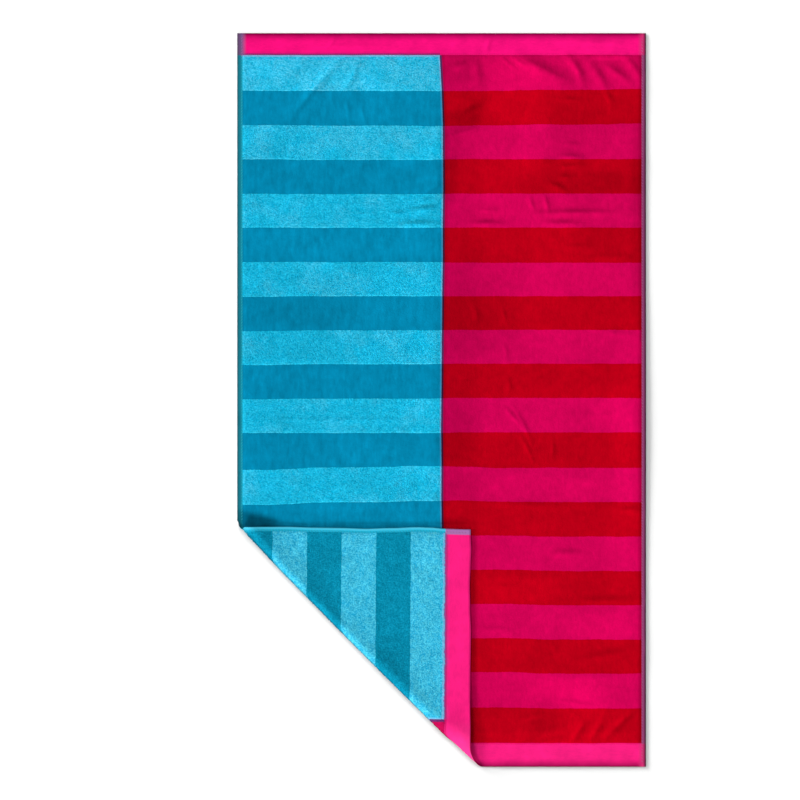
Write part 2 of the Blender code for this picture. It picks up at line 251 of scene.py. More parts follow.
def lift_line(roll):
    """Where the cloth lifts off the ground, measured outwards from the middle of the fold."""
    return roll.bow - roll.radius - PILE_THICKNESS / 2


def sway(rows, at):
    """How far out of line an edge sways at these places along it."""
    out = np.full(at.shape, rows[0].out)
    for low, high in zip(rows, rows[1:]):
        out += (high.out - low.out) * ease((at - low.at) / (high.at - low.at))
    return out


def in_fold(x, y):
    """The roll beside places of the flat cloth, and how far each has travelled past where it lifts."""
    by_side = ease(1 - (x + WIDTH / 2) / SWAY_DEPTH) * sway(SIDE_SWAYS, y)
    by_end = ease(1 - (y + LENGTH / 2) / SWAY_DEPTH) * sway(END_SWAYS, x)
    right, up = x - by_side - FOLD_MIDDLE[0], y - by_end - FOLD_MIDDLE[1]
    along = right * ALONG_FOLD[0] + up * ALONG_FOLD[1]
    roll = roll_at(along)
    return along, roll, right * OUT_OF_FOLD[0] + up * OUT_OF_FOLD[1] - lift_line(roll)


def thickness(x, y):
    """The cloth's thickness: full on the pile, stepping down to the flat woven hems."""
    side = WIDTH / 2 - np.abs(x)
    end = LENGTH / 2 - np.abs(y)
    end_hem = np.where(y > 0, TOP_HEM_DEPTH, BOTTOM_HEM_DEPTH)
    off_side = ease((side - SIDE_HEM_DEPTH) / HEM_STEP)
    off_end = ease((end - end_hem) / HEM_STEP)
    across = SIDE_HEM_THICKNESS + (PILE_THICKNESS - SIDE_HEM_THICKNESS) * off_side
    return END_HEM_THICKNESS + (across - END_HEM_THICKNESS) * off_end


def section(travel, roll):
    """Reach, height and lean of the cloth's middle: round the roll, over its crown, down to the face.

    Some of the cloth bunches up inside the roll, so that the flap comes to lie where it does.
    """
    tilt = np.radians(roll.tilt)
    belly_end = roll.radius * BELLY
    crown_length = roll.crown * (math.pi - BELLY + tilt)
    past = roll.radius * math.sin(BELLY) - roll.crown * (np.sin(tilt) + math.sin(BELLY))
    bunched = roll.draw - 2 * lift_line(roll) - belly_end - crown_length - past
    travel = travel - bunched * ease((travel - roll.bunch) / BUNCH_LENGTH)
    over = np.clip(travel - belly_end, 0.0, crown_length)
    belly = np.clip(travel, 0.0, belly_end) / roll.radius
    lean = belly + over / roll.crown
    reach = np.minimum(travel, 0.0) + roll.radius * np.sin(belly)
    reach += roll.crown * (np.sin(lean) - np.sin(belly))
    height = roll.radius * (1 - np.cos(belly)) + roll.crown * (np.cos(belly) - np.cos(lean))
    down = np.maximum(travel - belly_end - crown_length, 0.0)
    drop = roll.radius * (1 - math.cos(BELLY)) + roll.crown * (math.cos(BELLY) + np.cos(tilt))
    drop -= LANDED_HEIGHT
    still_up = np.exp(-down * np.tan(tilt) / drop)
    height = np.where(down > 0, LANDED_HEIGHT + drop * still_up, height)
    lean = np.where(down > 0, math.pi + np.arctan(np.tan(tilt) * still_up), lean)
    reach -= down + FLAP_STRETCH * np.maximum(travel - SLIDE_LEANS[1] * roll.radius, 0.0)
    low, high = SLIDE_LEANS
    return reach, height, lean, ease((travel / roll.radius - low) / (high - low))


def from_crest(crease, x, y):
    """How far towards a crease's end places are, from 0 to 1, and how far beside its crest."""
    turn = math.radians(crease.angle)
    right, up = x - crease.x, y - crease.y
    far = right * math.cos(turn) + up * math.sin(turn)
    share = np.minimum(np.abs(far) / (crease.length / 2), 1.0)
    aside = up * math.cos(turn) - right * math.sin(turn)
    return share, aside - crease.bend * (1 - 2 * share * share)


def crease_lift(x, y):
    """How far the creases hold the cloth off the ground."""
    lift = np.zeros_like(x)
    for crease in CREASES:
        share, aside = from_crest(crease, x, y)
        width = crease.width * (1 - crease.skew * np.tanh(aside / crease.width))
        lift += crease.height * (1 - ease(share)) * np.exp(-((aside / width) ** 2))
    return lift


def laid(x, y, side, proud=0.0):
    """Where points of the flat cloth lie: side is 1 on its face, -1 on its back. Proud lifts them."""
    along, roll, travel = in_fold(x, y)
    reach, height, lean, moved = section(travel, roll)
    half = thickness(x, y) / 2
    off = side * (half + proud)
    out = lift_line(roll) + reach - np.sin(lean) * off
    height = height + half + np.cos(lean) * off + crease_lift(x, y) * ease(-travel / CREASE_FADE)
    over = along + (FLAP_SLIDE + FLAP_STRETCH * along) * moved
    spot_x = over * ALONG_FOLD[0] + out * OUT_OF_FOLD[0]
    spot_y = over * ALONG_FOLD[1] + out * OUT_OF_FOLD[1]
    turn = FLAP_TURN * moved
    return np.stack(
        (
            FOLD_MIDDLE[0] + spot_x * np.cos(turn) - spot_y * np.sin(turn),
            FOLD_MIDDLE[1] + spot_x * np.sin(turn) + spot_y * np.cos(turn),
            height,
        ),
        axis=-1,
    )


def mottle(x, y, size, seed):
    """Soft random patches of about this size over the cloth, from 0 to 1."""
    spare = 2
    grid = [int(reach / size) + 3 * spare for reach in (WIDTH, LENGTH)]
    knots = np.random.default_rng(seed).random(grid)
    across = (x + WIDTH / 2) / size + spare
    up = (y + LENGTH / 2) / size + spare
    i, j = np.floor(across).astype(int), np.floor(up).astype(int)
    s, t = ease(across - i), ease(up - j)
    low = knots[i, j] * (1 - s) + knots[i + 1, j] * s
    high = knots[i, j + 1] * (1 - s) + knots[i + 1, j + 1] * s
    return low * (1 - t) + high * t


# How big the uneven patches of the pile are, how high they stand and their seed, then the same for the
# broad waves of the cloth, and how far past the lift-off the back's pile counts.
PILE_WAVES = ((0.017, 0.00025, 11), (0.0085, 0.00020, 12))
BROAD_WAVES = ((0.160, 0.0007, 21), (0.055, 0.0005, 22))
BACK_PILE_FROM = 0.012
# How far the left hem's folded edge bellies out past its seam, how wide, and where it stops at the fold.
LEFT_BELLY = 0.0029
LEFT_BELLY_WIDTH = 0.0120
LEFT_BELLY_FADE = 0.0050


def spread(x, y, sides, proud=0.0):
    """Where points of the cloth lie, its pile uneven and its face never quite flat."""
    travel = in_fold(x, y)[2]
    step = PILE_THICKNESS - SIDE_HEM_THICKNESS
    off_hem = np.clip((thickness(x, y) - SIDE_HEM_THICKNESS) / step, 0, 1)
    piled = off_hem * ((sides > 0) & (travel < 0.0) | (sides < 0) & (travel > BACK_PILE_FROM))
    for size, height, seed in PILE_WAVES:
        proud = proud + height * mottle(x, y, size, seed) * piled
    places = laid(x, y, sides, proud)
    for size, height, seed in BROAD_WAVES:
        flat_part = ease(-travel / CREASE_FADE) * (sides > 0)
        places[:, 2] += height * mottle(x, y, size, seed) * flat_part
    by_edge = np.clip(1 - (x + WIDTH / 2) / LEFT_BELLY_WIDTH, 0, 1)
    places[:, 0] -= LEFT_BELLY * by_edge * ease(-travel / LEFT_BELLY_FADE)
    return places


def ruled(stops, size):
    """Places from the first stop to the last, no further apart than size, with every stop kept."""
    places = [stops[0]]
    for low, high in zip(stops, stops[1:]):
        places += list(np.linspace(low, high, math.ceil((high - low) / size) + 1)[1:])
    return places


# The cells that the cloth is cut into, the bands of travel over the fold in which they are halved, and
# how far along and beside a crest they are halved too, in half lengths and widths of the crease.
FACE_CELL = 0.0064
BACK_CELL = 0.0105
FACE_BANDS = ((-0.012, 0.060),)
BACK_BANDS = ((-0.020, 0.600), (-0.010, 0.120))
FINE_ALONG = 0.9
FINE_BESIDE = 2.2


def by_crease(x, y):
    """Whether places of the flat cloth are on or beside a crease's crest."""
    beside = np.zeros(x.shape, bool)
    for crease in NARROW_CREASES:
        share, aside = from_crest(crease, x, y)
        beside |= (share < FINE_ALONG) & (np.abs(aside) < FINE_BESIDE * crease.width)
    return beside


def cut_cloth(cell, finer, crumpled):
    """The flat cloth ruled into cells, finer in these bands of travel over the fold, or by creases."""
    half_x, half_y = WIDTH / 2 - RIM_ROUNDING, LENGTH / 2 - RIM_ROUNDING
    side = WIDTH / 2 - SIDE_HEM_DEPTH
    bottom, top = BOTTOM_HEM_DEPTH - LENGTH / 2, LENGTH / 2 - TOP_HEM_DEPTH
    across = ruled((-half_x, -side, HEM_STEP - side, side - HEM_STEP, side, half_x), cell)
    up = ruled((-half_y, bottom, bottom + HEM_STEP, top - HEM_STEP, top, half_y), cell)
    cloth = bmesh.new()
    rows = [[cloth.verts.new((x, y, 0)) for x in across] for y in up]
    for low, high in zip(rows, rows[1:]):
        for i in range(len(across) - 1):
            cloth.faces.new((low[i], low[i + 1], high[i + 1], high[i]))
    for low, high in finer:
        spots = np.array([vert.co for vert in cloth.verts])
        travel = in_fold(spots[:, 0], spots[:, 1])[2]
        inside = (travel > low) & (travel < high)
        if crumpled:
            inside |= by_crease(spots[:, 0], spots[:, 1]) & (travel < 0)
        cloth.verts.index_update()
        edges = [e for e in cloth.edges if inside[e.verts[0].index] and inside[e.verts[1].index]]
        bmesh.ops.subdivide_edges(cloth, edges=edges, cuts=1, use_grid_fill=True)
    cloth.verts.index_update()
    spots = np.array([vert.co.xy for vert in cloth.verts])
    faces = [[vert.index for vert in face.verts] for face in cloth.faces]
    edge_spots = [vert.index for vert in cloth.verts if vert.is_boundary]
    cloth.free()
    return spots, faces, sorted(edge_spots, key=lambda i: round_edge(*spots[i]))


def round_edge(x, y):
    """How far round the towel's edge a point on it is, from its lower left corner."""
    low_x, low_y = -WIDTH / 2 + RIM_ROUNDING, -LENGTH / 2 + RIM_ROUNDING
    near = 1e-6
    if y < low_y + near:
        return x - low_x
    if x > -low_x - near:
        return WIDTH + y - low_y
    if y > -low_y - near:
        return WIDTH + LENGTH - low_x - x
    return 2 * WIDTH + LENGTH - low_y - y


def laced(first, first_at, second, second_at):
    """Triangles between two rings of points, each at its own places round the edge."""
    faces = []
    i = j = 0
    while i < len(first) or j < len(second):
        next_first = first_at[i + 1] if i + 1 < len(first) else math.inf
        next_second = second_at[j + 1] if j + 1 < len(second) else math.inf
        a, b = first[i % len(first)], second[j % len(second)]
        if i < len(first) and (next_first <= next_second or j == len(second)):
            faces.append((a, b, first[(i + 1) % len(first)]))
            i += 1
        else:
            faces.append((a, b, second[(j + 1) % len(second)]))
            j += 1
    return faces


# Patches where the velour is lighter or darker: some are its nap, brushed lighter or darker by hands,
# and some are painted shade, painted shadow and painted highlight. The middle of each patch, half its
# size, how many degrees it is turned, and how much lighter it is.
NapAndShadePatch = namedtuple("NapAndShadePatch", "x y wide tall turn shade")
NAP_AND_SHADE_PATCHES = [NapAndShadePatch(*row) for row in (
    # Painted shade along the pink half beside the split, where the cloth slopes away from the light.
    (0.040, 0.270, 0.062, 0.640, 0, -0.10),
    # Painted shadow in the hollow beside the roll's raised end, above the flap.
    (-0.452, -0.301, 0.058, 0.024, -14, -0.62),
    (0.044, 0.812, 0.054, 0.042, 0, -0.16),
    (0.053, 0.691, 0.059, 0.032, 20, -0.17),
    (0.019, 0.615, 0.029, 0.049, 0, -0.13),
    (0.014, 0.536, 0.025, 0.054, 0, -0.17),
    (0.181, 0.748, 0.081, 0.088, -6, 0.17),
    (0.220, 0.615, 0.039, 0.073, -8, 0.12),
    (0.154, 0.546, 0.039, 0.078, -22, 0.09),
    (0.073, 0.536, 0.037, 0.078, -24, 0.07),
    (0.289, 0.615, 0.064, 0.064, 0, -0.05),
    (0.367, 0.534, 0.137, 0.032, 0, -0.14),
    # Painted shade along the right side, just inside its hem.
    (0.480, 0.414, 0.020, 0.240, 0, -0.16),
    (0.480, 0.615, 0.015, 0.098, 0, -0.08),
    (0.078, 0.217, 0.080, 0.132, -7, -0.12),
    (0.259, 0.325, 0.054, 0.113, -8, 0.06),
    (0.387, 0.399, 0.059, 0.034, 0, -0.10),
    (0.142, 0.173, 0.054, 0.073, 0, -0.05),
    (0.039, -0.078, 0.056, 0.093, -6, -0.10),
    (0.041, -0.215, 0.049, 0.044, 0, -0.10),
    (0.326, 0.016, 0.171, 0.020, 0, 0.07),
    (0.416, -0.028, 0.054, 0.039, 0, 0.10),
    (0.441, -0.134, 0.032, 0.142, 0, 0.11),
    (0.289, -0.117, 0.049, 0.044, 0, -0.05),
    (0.436, -0.392, 0.037, 0.176, 0, 0.09),
    (0.377, -0.220, 0.098, 0.029, 0, 0.05),
    (0.183, -0.466, 0.103, 0.037, 0, 0.15),
    (0.142, -0.358, 0.059, 0.034, 0, -0.05),
    (0.402, -0.554, 0.083, 0.037, 0, 0.15),
    (0.289, -0.534, 0.083, 0.034, 0, 0.06),
    (0.289, -0.702, 0.113, 0.032, 0, 0.14),
    (0.357, -0.765, 0.062, 0.056, 0, 0.21),
    (0.250, -0.795, 0.040, 0.020, 18, -0.12),
    (0.161, -0.751, 0.029, 0.083, -14, -0.06),
    (0.137, -0.829, 0.073, 0.017, 0, 0.10),
    (0.350, -0.829, 0.140, 0.017, 0, 0.17),
    (0.436, -0.711, 0.039, 0.034, 0, 0.05),
    (0.191, -0.613, 0.064, 0.029, 0, 0.04),
    (-0.349, 0.758, 0.157, 0.088, 0, 0.04),
    (-0.160, 0.733, 0.042, 0.064, 0, 0.09),
    (-0.045, 0.561, 0.054, 0.064, 24, 0.08),
    (-0.239, 0.384, 0.260, 0.042, 0, 0.08),
    (-0.050, 0.384, 0.049, 0.037, 0, 0.05),
    (-0.383, 0.217, 0.137, 0.044, 0, -0.11),
    (-0.369, 0.134, 0.152, 0.042, 0, -0.08),
    (-0.467, 0.030, 0.039, 0.064, 0, 0.07),
    (-0.187, -0.127, 0.073, 0.042, 0, 0.08),
    (-0.467, -0.151, 0.039, 0.049, 0, 0.06),
    (-0.239, -0.264, 0.255, 0.012, 0, 0.07),
    (-0.359, 0.291, 0.152, 0.042, 0, -0.05),
    (-0.349, -0.048, 0.171, 0.025, 0, -0.03),
    (-0.104, 0.247, 0.073, 0.073, 0, 0.02),
    (-0.422, 0.590, 0.073, 0.073, 0, -0.03),
    # A painted highlight on the pink just under the top hem.
    (0.412, 0.8385, 0.046, 0.006, 0, 0.26),
    (0.330, -0.715, 0.085, 0.045, 0, 0.09),
    (0.150, -0.800, 0.070, 0.030, 0, 0.10),
    (0.370, 0.700, 0.090, 0.060, 0, -0.06),
    # Painted shadows above the flap's top edge and beside its right edge.
    (-0.150, -0.3035, 0.220, 0.0068, 0, -0.30),
    (0.030, -0.300, 0.045, 0.012, 0, -0.22),
    (0.078, -0.580, 0.0075, 0.300, 0, -0.24),
)]

# How far the weave has drifted off even stripes at places up the towel, on its left and right halves,
# and how far the line where its two colours meet has drifted to the right.
Drift = namedtuple("Drift", "y left right split")
DRIFTS = (
    Drift(-0.842, 0.0000, 0.0011, 0.0000),
    Drift(-0.672, 0.0000, 0.0028, 0.0000),
    Drift(-0.503, 0.0000, 0.0016, 0.0000),
    Drift(-0.330, 0.0000, 0.0010, 0.0000),
    Drift(-0.250, 0.0009, 0.0016, -0.0014),
    Drift(-0.166, 0.0028, 0.0006, -0.0010),
    Drift(-0.080, 0.0018, 0.0036, -0.0020),
    Drift(0.089, 0.0016, 0.0031, -0.0006),
    Drift(0.256, -0.0004, -0.0004, 0.0008),
    Drift(0.340, -0.0011, -0.0029, 0.0022),
    Drift(0.423, -0.0013, -0.0010, 0.0020),
    Drift(0.507, -0.0033, -0.0021, 0.0031),
    Drift(0.676, -0.0045, -0.0016, 0.0022),
    Drift(0.762, -0.0033, -0.0009, -0.0006),
    Drift(0.846, 0.0000, 0.0000, -0.0052),
)
DRIFT_BLEND = 0.060

# Where the weave is also pulled up or down: the middle of each pull, half its size, its turn, and how
# far up it goes.
Pull = namedtuple("Pull", "x y wide tall turn up")
PULLS = (
    Pull(-0.500, -0.210, 0.170, 0.090, 0, -0.0066),
    Pull(-0.500, 0.130, 0.130, 0.160, 0, -0.0022),
    Pull(-0.500, 0.620, 0.130, 0.130, 0, 0.0018),
    Pull(-0.010, -0.220, 0.120, 0.110, 0, 0.0032),
    Pull(0.110, -0.540, 0.120, 0.300, 0, 0.0032),
    Pull(0.080, 0.720, 0.120, 0.090, 0, -0.0026),
    Pull(0.480, 0.720, 0.070, 0.120, 0, 0.0022),
)

# How dark the pile is painted where it turns round the outside of the roll, between these leans: a
# painted shade along the fold's outline.
ROLL_PAINTED_SHADE = 0.38
SHADED_LEANS = (math.radians(18), math.radians(60), math.radians(112), math.radians(164))

# A patch is whole out to these shares of its half width and half height, and fades over the next ones.
PATCH_WHOLE = (0.35, 0.45)
PATCH_FADE = (1.0, 0.8)


def in_patch(patch, x, y):
    """How far inside a soft-edged patch places are, from 0 to 1."""
    turn = math.radians(patch.turn)
    right, up = x - patch.x, y - patch.y
    across = np.abs(right * math.cos(turn) + up * math.sin(turn)) / patch.wide
    along = np.abs(up * math.cos(turn) - right * math.sin(turn)) / patch.tall
    fades = zip((across, along), PATCH_WHOLE, PATCH_FADE)
    across, along = [1 - ease((share - whole) / fade) for share, whole, fade in fades]
    return across * along


def nap_and_painted_shade(x, y):
    """How much lighter or darker the velour is: its brushed nap, with painted shade and painted
    highlight.
    """
    return sum(shade_patch.shade * in_patch(shade_patch, x, y) for shade_patch in NAP_AND_SHADE_PATCHES)


# How much painted highlight lies on a crease's crest and how much painted shade beside it, for each
# metre of its height, and how wide and how far beside it that is, in crease widths.
CREST_PAINTED_HIGHLIGHT = 16.0
CREST_WIDTH = 0.9
TROUGH_PAINTED_SHADE = 30.0
TROUGH_ASIDE = 1.3
TROUGH_WIDTH = 0.8
# Creases that run level get more painted shade, and the painted shade lies on the side of each crease
# turned away from a light at this bearing.
LEVEL_PAINTED_SHADE = 0.9
PAINTED_LIGHT_FROM = math.radians(200)
# How much of the painted shade shows over the blue half, where less of the pile is sheared.
BLUE_PAINTED_SHADE = 0.3
BLUE_PAINTED_SHADE_FADE = (-0.200, 0.100)


def crease_highlight_and_shade(x, y):
    """Painted highlight on the creases' crests and painted shade beside them, away from the light."""
    shade = np.zeros_like(x)
    start, fade = BLUE_PAINTED_SHADE_FADE
    shown = BLUE_PAINTED_SHADE + (1 - BLUE_PAINTED_SHADE) * ease((x - start) / fade)
    for crease in NARROW_CREASES:
        share, aside = from_crest(crease, x, y)
        turn = math.radians(crease.angle)
        aside *= math.copysign(1, math.cos(turn + math.pi / 2 - PAINTED_LIGHT_FROM)) / crease.width
        trough_shade = TROUGH_PAINTED_SHADE * np.exp(-(((aside + TROUGH_ASIDE) / TROUGH_WIDTH) ** 2))
        trough_shade *= (1 + LEVEL_PAINTED_SHADE * abs(math.cos(turn)) ** 3) * shown
        rise = CREST_PAINTED_HIGHLIGHT * np.exp(-((aside / CREST_WIDTH) ** 2))
        shade += crease.height * (1 - ease(share)) * (rise - trough_shade)
    return shade


def drifted(x, y):
    """How far the weave's stripes have drifted up the towel."""
    at = [drift.y for drift in DRIFTS]
    left = np.interp(y, at, [drift.left for drift in DRIFTS])
    right = np.interp(y, at, [drift.right for drift in DRIFTS])
    even = left + (right - left) * ease((x + DRIFT_BLEND) / (2 * DRIFT_BLEND))
    return even + sum(pull.up * in_patch(pull, x, y) for pull in PULLS)


def split_drifted(y):
    """How far to the right the line where the colours meet has drifted."""
    return np.interp(y, [drift.y for drift in DRIFTS], [drift.split for drift in DRIFTS])


def painted_roll_shade(x, y, sides):
    """The painted shade on the pile round the outside of the roll."""
    roll, travel = in_fold(x, y)[1:]
    lean = section(travel, roll)[2]
    start, dark, light, end = SHADED_LEANS
    turned = ease((lean - start) / (dark - start)) * (1 - ease((lean - light) / (end - light)))
    return 1 - (1 - ROLL_PAINTED_SHADE) * turned * (sides <= 0)


def towel_sheet():
    """Both sides of the cloth where they lie, with the rim between them, as one closed mesh."""
    face_spots, face_faces, face_edge = cut_cloth(FACE_CELL, FACE_BANDS, True)
    back_spots, back_faces, back_edge = cut_cloth(BACK_CELL, BACK_BANDS, False)
    half = np.array((WIDTH, LENGTH)) / 2
    rim_spots = face_spots[face_edge] * (half / (half - RIM_ROUNDING))
    spots = np.concatenate((face_spots, back_spots, rim_spots))
    sides = np.repeat((1.0, -1.0, 0.0), (len(face_spots), len(back_spots), len(rim_spots)))
    back, rim = len(face_spots), len(face_spots) + len(back_spots)
    turned_faces = [[back + i for i in reversed(face)] for face in back_faces]
    ring = list(range(rim, len(spots)))
    pairs = list(zip(face_edge, ring))
    rim_faces = [(*pair, *reversed(ahead)) for pair, ahead in zip(pairs, pairs[1:] + pairs[:1])]
    ring_at = [round_edge(*face_spots[i]) for i in face_edge]
    back_at = [round_edge(*back_spots[i]) for i in back_edge]
    back_rim = laced(ring, ring_at, [back + i for i in back_edge], back_at)
    parts = (face_faces, turned_faces, rim_faces, back_rim)
    mesh = bpy.data.meshes.new("towel_cloth")
    mesh.from_pydata(spread(*spots.T, sides).tolist(), [], sum(parts, []))
    mesh.validate()
    give_cloth_spots(mesh, spots, sides, np.zeros(len(spots)))
    corners = np.empty(len(mesh.loops), np.int32)
    mesh.loops.foreach_get("vertex_index", corners)
    on_face = np.repeat((True, False, True, False), [len(part) for part in parts])
    sizes = [polygon.loop_total for polygon in mesh.polygons]
    give_bake_map(mesh, spots[corners], np.repeat(on_face, sizes))
    mesh.shade_smooth()
    return mesh


def give_cloth_spots(mesh, spots, sides, rise):
    """Stores each point's place on the flat cloth, from its lower left corner, its shade and its rise.

    Rise is 0 in the ground of the pile and 1 at the tip of a loop.
    """
    x, y = spots[:, 0], spots[:, 1]
    u, v = x + WIDTH / 2, y + LENGTH / 2
    # The shade holds the nap with painted shade, painted shadow and painted highlight from patches,
    # creases and roll.
    shade = (1 + (nap_and_painted_shade(x, y) + crease_highlight_and_shade(x, y)) * (sides >= 0)) * painted_roll_shade(x, y, sides)
    on_face = sides >= 0
    woven = (u - split_drifted(y) * on_face, v - drifted(x, y) * on_face, sides)
    rows = (("cloth", (u, v, sides)), ("weave", woven), ("pile", (shade, rise, sides)))
    for name, values in rows:
        kept = mesh.attributes.new(name, "FLOAT_VECTOR", "POINT")
        kept.data.foreach_set("vector", np.stack(values, axis=-1).astype(np.float32).ravel())


def give_bake_map(mesh, spots, on_face):
    """Lays the face of the cloth on the left half of a map and its back on the right half."""
    margin = 0.004
    u = (spots[:, 0] + WIDTH / 2 + margin) / (2 * (WIDTH + 2 * margin))
    v = (spots[:, 1] + LENGTH / 2 + margin) / (LENGTH + 2 * margin)
    u = np.where(on_face, u, u + 0.5)
    layer = mesh.uv_layers.new(name="OFBake")
    layer.data.foreach_set("uv", np.stack((u, v), axis=-1).astype(np.float32).ravel())


def finish_piece(name, mesh, material):
    piece = bpy.data.objects.new(name, mesh)
    bpy.context.scene.collection.objects.link(piece)
    mesh.materials.append(material)
    return piece


# The dyed yarns, as linear colours. The looped ones have a deep colour between the loops, partly
# painted shade in the depths of the pile, and a lighter one on their tips, partly painted highlight.
LIGHT_BLUE_DEEP = (0.001, 0.427, 0.675)
LIGHT_BLUE_TIP = (0.030, 0.660, 0.920)
PALER_TIP = (0.260, 0.770, 0.950)
DARK_BLUE = (0.001, 0.218, 0.390)
MAGENTA = (0.600, 0.001, 0.083)
RED = (0.455, 0.000, 0.008)
BACK_LIGHT_DEEP = (0.006, 0.398, 0.685)
BACK_LIGHT_TIP = (0.144, 0.820, 0.975)
BACK_DARK_DEEP = (0.001, 0.235, 0.380)
BACK_DARK_TIP = (0.007, 0.410, 0.620)
BACK_MAGENTA = (0.560, 0.004, 0.090)
BACK_RED = (0.470, 0.001, 0.050)
HEM_PINK = (0.920, 0.014, 0.205)
TOP_HEM_PINK = (0.900, 0.005, 0.190)
HIGHLIGHT_PINK = (0.900, 0.040, 0.255)
BORDER_PURPLE = (0.080, 0.017, 0.141)
BORDER_LILAC = (0.352, 0.515, 0.871)
BACK_BORDER_PURPLE = (0.400, 0.095, 0.430)
SEAM_NAVY = (0.030, 0.012, 0.050)
SEAM_PURPLE = (0.110, 0.036, 0.170)
LEFT_HEM_TEAL = (0.008, 0.280, 0.390)
LEFT_HEM_LILAC = (0.210, 0.100, 0.260)
# The side hems' edge colours are painted shade where the edges turn down.
LEFT_HEM_SHADED_EDGE = (0.009, 0.042, 0.050)
LEFT_LILAC_SHADED_EDGE = (0.042, 0.028, 0.046)
RIGHT_HEM_PLUM = (0.318, 0.056, 0.175)
RIGHT_HEM_PINK = (0.600, 0.030, 0.160)
RIGHT_HEM_SHADED_EDGE = (0.085, 0.018, 0.050)
# The back's rim blue is a painted highlight along the flap's top edge.
BACK_RIM_HIGHLIGHT_BLUE = (0.066, 0.560, 0.780)
BACK_HEM_TEAL = (0.014, 0.440, 0.660)
BACK_HEM_LILAC = (0.380, 0.160, 0.410)

STRIPES = 20
STRIPE = (LENGTH - TOP_HEM_DEPTH - BOTTOM_HEM_DEPTH) / STRIPES
COLOUR_SPLIT = 0.4990
BACK_COLOUR_SPLIT = 0.4645
BACK_HEM_TURN = 0.0040
LEFT_HEM_SHOWN = 0.0105
RIGHT_HEM_SHOWN = 0.0110


class Value:
    """What a node gives at each place of the cloth, so that sums with it read as sums."""

    def __init__(self, loom, socket):
        self.loom = loom
        self.socket = socket

    def __add__(self, other):
        return self.loom.maths("ADD", self, other)

    def __sub__(self, other):
        return self.loom.maths("SUBTRACT", self, other)

    def __rsub__(self, other):
        return self.loom.maths("SUBTRACT", other, self)

    def __mul__(self, other):
        return self.loom.maths("MULTIPLY", self, other)

    def __truediv__(self, other):
        return self.loom.maths("DIVIDE", self, other)

    def __lt__(self, other):
        return self.loom.maths("LESS_THAN", self, other)

    def __gt__(self, other):
        return self.loom.maths("GREATER_THAN", self, other)

    def clamped(self):
        """Kept between 0 and 1."""
        return self.loom.worked("ShaderNodeClamp", {"Value": self})


class Loom:
    """A material's node tree, with short ways to work out where on the cloth a point is."""

    def __init__(self, name):
        self.material = bpy.data.materials.new(name)
        self.material.use_nodes = True
        self.tree = self.material.node_tree
        self.shader = self.tree.nodes["Principled BSDF"]
        self.cloth, (self.u, self.v, side) = self.stored("cloth")
        self.on_back = side < -0.001
        self.on_face = 1 - self.on_back
        self.split_u, self.stripe_v = self.stored("weave")[1][:2]
        self.shade, self.rise = self.stored("pile")[1][:2]

    def worked(self, kind, fed, output=0, **settings):
        """What a new node gives, once it is set and its inputs are fed."""
        made = self.tree.nodes.new(kind)
        for name, value in settings.items():
            setattr(made, name, value)
        for name, value in fed.items():
            self.feed(made.inputs[name], value)
        return Value(self, made.outputs[output])

    def feed(self, socket, value):
        if isinstance(value, Value):
            self.tree.links.new(value.socket, socket)
        elif socket.type == "RGBA":
            socket.default_value = (*value, 1.0)
        else:
            socket.default_value = value

    def stored(self, name):
        """What each point has stored under this name, whole and as its three numbers."""
        kept = self.worked("ShaderNodeAttribute", {}, "Vector", attribute_name=name)
        parts = self.worked("ShaderNodeSeparateXYZ", {0: kept}).socket.node.outputs
        return kept, [Value(self, part) for part in parts]

    def maths(self, operation, *values):
        return self.worked("ShaderNodeMath", dict(enumerate(values)), operation=operation)

    def mix(self, share, first, second):
        """One colour, or this share of another."""
        return self.worked("ShaderNodeMix", {0: share, 6: first, 7: second}, 2, data_type="RGBA")

    def blend(self, share, first, second):
        """One measure, or this share of another."""
        return self.worked("ShaderNodeMix", {0: share, 2: first, 3: second}, data_type="FLOAT")

    def by_side(self, face, back):
        """One measure on the face of the cloth and another on its back."""
        return self.blend(self.on_back, face, back)

    def over(self, colour, share):
        """A colour made lighter or darker."""
        return self.worked("ShaderNodeVectorMath", {0: colour, "Scale": share}, operation="SCALE")

    def noise(self, size, detail=2.0, roughness=0.5, stretch=None):
        """A random number from 0 to 1 over patches of about this size."""
        place = self.cloth
        if stretch:
            place = self.worked("ShaderNodeVectorMath", {0: place, 1: stretch}, operation="MULTIPLY")
        fed = {"Vector": place, "Scale": 1.0 / size, "Detail": detail, "Roughness": roughness}
        return self.worked("ShaderNodeTexNoise", fed, "Fac")

    def wander(self, value, size, reach):
        """A measure that wanders to and fro by this much over patches of this size."""
        return value + (self.noise(size, detail=1.0) - 0.5) * (2 * reach)

    def beyond(self, value, edge, soft):
        """0 up to an edge and 1 from a soft step past it."""
        return ((value - edge) / soft).clamped()

    def swing(self, value, reach, middle=0.5):
        """A factor about 1 that goes up and down by this much as a noise does."""
        return (value - middle) * (2 * reach) + 1.0

    def lined(self, colour, measure, low, high, tint, strength, soft=0.0016):
        """The colour with a soft-edged line of another over it, between two measures."""
        line = self.beyond(measure, low, soft) * ((high - measure) / soft).clamped()
        return self.mix(line * strength, colour, tint)


# How much of the loops' tips shows: part of it goes by clumps and the rest by a fine grain, from this
# level of the two on, all of it this much above the level, and more on the tufts as they rise, as a
# painted highlight towards each tuft's tip.
CLUMP_SHARE = 0.3
TIP_LEVEL = 0.36
TIP_SPREAD = 0.30
TIPS_SHOWN = 0.75
TIP_HIGHLIGHT_BY_RISE = 0.40


